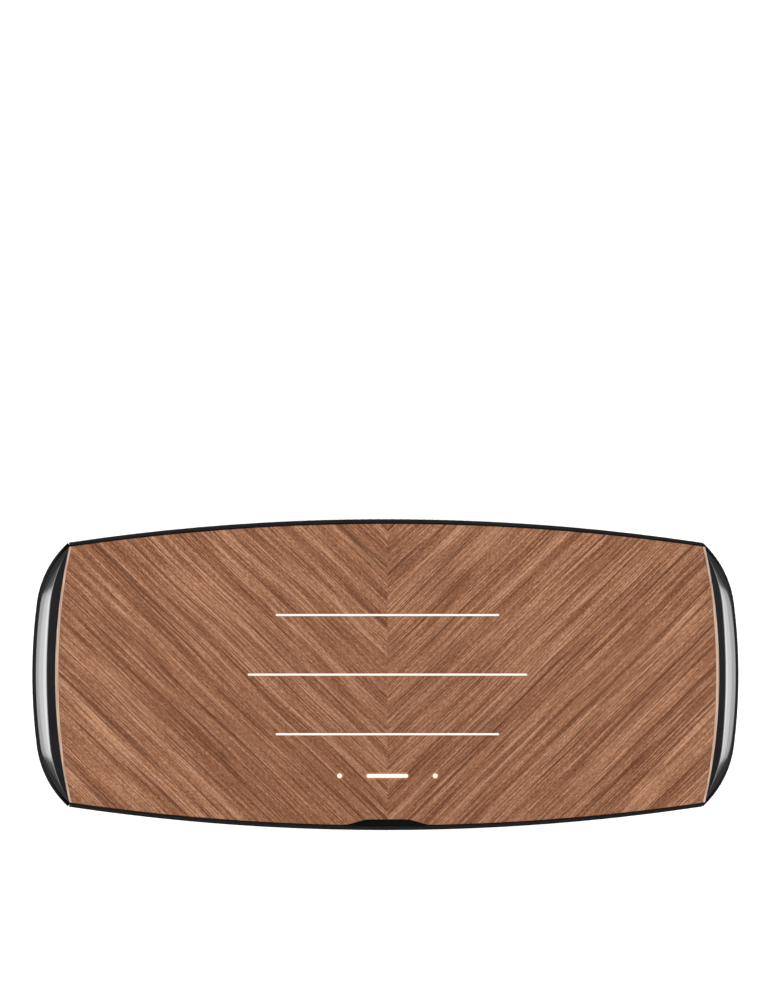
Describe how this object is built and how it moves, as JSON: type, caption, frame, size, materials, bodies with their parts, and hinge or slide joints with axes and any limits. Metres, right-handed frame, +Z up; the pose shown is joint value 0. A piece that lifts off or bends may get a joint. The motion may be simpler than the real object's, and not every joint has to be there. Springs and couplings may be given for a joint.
{
  "type": "soundbar",
  "caption": "Wide one-box speaker with a hull-shaped body, a wooden deck with light lines, polished shoulder trims, cloth sides, drivers, amplifier and rear sockets",
  "frame": {"origin": "on the floor plane under the middle of the body, at the bottoms of the feet", "axes": "+X to the right seen from the front, +Y to the rear, +Z up; the front faces -Y"},
  "size_m": [0.65, 0.286, 0.13],
  "materials": {
    "case_black": "fine moulded texture",
    "frame_black": "satin",
    "cloth": "woven acoustic cloth",
    "trim_gloss": "polished black lacquer",
    "mesh": "perforated, matt",
    "veneer": "walnut veneer in a chevron, satin lacquer",
    "inlay": "pale maple strip",
    "light": "frosted light guide",
    "cabinet": "moulded",
    "guard": "powder coat",
    "basket": "stamped steel, black",
    "magnet": "magnet and yoke",
    "cone": "coated paper",
    "surround": "soft rubber",
    "dome": "coated silk",
    "board": "circuit board",
    "heatsink": "extruded",
    "socket_metal": "plated shell",
    "socket_black": "moulded",
    "screw": "black zinc",
    "foot_rubber": "matt"
  },
  "bodies": {
    "cabinet": {"base_tray": "case_black", "rear_cover": "case_black", "front_grille_frame": "case_black", "end_panel_left": "case_black", "end_panel_right": "case_black", "connector_plate": "case_black", "top_frame": "frame_black", "front_grille_cloth": "cloth", "end_cloth_left": "cloth", "end_cloth_right": "cloth", "shoulder_trim_left": "trim_gloss", "shoulder_trim_right": "trim_gloss", "mesh_band_left": "mesh", "mesh_band_right": "mesh", "deck_panel": "veneer", "deck_inlay_left": "inlay", "deck_inlay_right": "inlay", "light_line_rear": "light", "light_line_middle": "light", "light_line_front": "light", "light_bar": "light", "touch_dots": "light", "cabinet_tub": "cabinet", "cabinet_lid": "cabinet", "woofer_guard": "guard", "woofer_basket": "basket", "mid_chassis_left": "basket", "mid_chassis_right": "basket", "side_chassis_left": "basket", "side_chassis_right": "basket", "woofer_motor": "magnet", "tweeter_body_left": "magnet", "tweeter_body_right": "magnet", "woofer_surround": "surround", "mid_surround_left": "surround", "mid_surround_right": "surround", "side_surround_left": "surround", "side_surround_right": "surround", "main_board": "board", "amplifier_board": "board", "power_board": "board", "sensor_board": "board", "amplifier_heatsink": "heatsink", "hdmi_socket": "socket_metal", "lan_socket": "socket_metal", "mains_inlet": "socket_black", "line_socket": "socket_black", "power_switch": "socket_black", "tray_screws": "screw", "driver_screws": "screw", "feet": "foot_rubber"},
    "woofer_cone": {"woofer_cone": "cone"},
    "mid_cone_left": {"mid_cone_left": "cone"},
    "mid_cone_right": {"mid_cone_right": "cone"},
    "side_cone_left": {"side_cone_left": "cone"},
    "side_cone_right": {"side_cone_right": "cone"},
    "tweeter_dome_left": {"tweeter_dome_left": "dome"},
    "tweeter_dome_right": {"tweeter_dome_right": "dome"},
    "power_rocker": {"power_rocker": "socket_black"},
    "setup_button": {"setup_button": "socket_black"}
  },
  "joints": [
    {"name": "woofer_cone_slide", "type": "slide", "parent": "cabinet", "child": "woofer_cone", "axis": [0, 0, -1], "range_m": [-0.005, 0.005], "stiffness_N_per_m": 1800},
    {"name": "mid_cone_left_slide", "type": "slide", "parent": "cabinet", "child": "mid_cone_left", "axis": [0, -1, 0], "range_m": [-0.002, 0.002], "stiffness_N_per_m": 1500},
    {"name": "side_cone_left_slide", "type": "slide", "parent": "cabinet", "child": "side_cone_left", "axis": [-1, 0, 0], "range_m": [-0.002, 0.002], "stiffness_N_per_m": 1500},
    {"name": "tweeter_dome_left_slide", "type": "slide", "parent": "cabinet", "child": "tweeter_dome_left", "axis": [0, -1, 0], "range_m": [-0.0003, 0.0003], "stiffness_N_per_m": 1500},
    {"name": "mid_cone_right_slide", "type": "slide", "parent": "cabinet", "child": "mid_cone_right", "axis": [0, -1, 0], "range_m": [-0.002, 0.002], "stiffness_N_per_m": 1500},
    {"name": "side_cone_right_slide", "type": "slide", "parent": "cabinet", "child": "side_cone_right", "axis": [1, 0, 0], "range_m": [-0.002, 0.002], "stiffness_N_per_m": 1500},
    {"name": "tweeter_dome_right_slide", "type": "slide", "parent": "cabinet", "child": "tweeter_dome_right", "axis": [0, -1, 0], "range_m": [-0.0003, 0.0003], "stiffness_N_per_m": 1500},
    {"name": "power_rocker_tilt", "type": "hinge", "parent": "cabinet", "child": "power_rocker", "pos_m": [0.034, 0.104, 0.056], "axis": [-1, 0, 0], "range_deg": [0, 18]},
    {"name": "setup_button_press", "type": "slide", "parent": "cabinet", "child": "setup_button", "axis": [0, -1, 0], "range_m": [0, 0.001], "stiffness_N_per_m": 800}
  ]
}
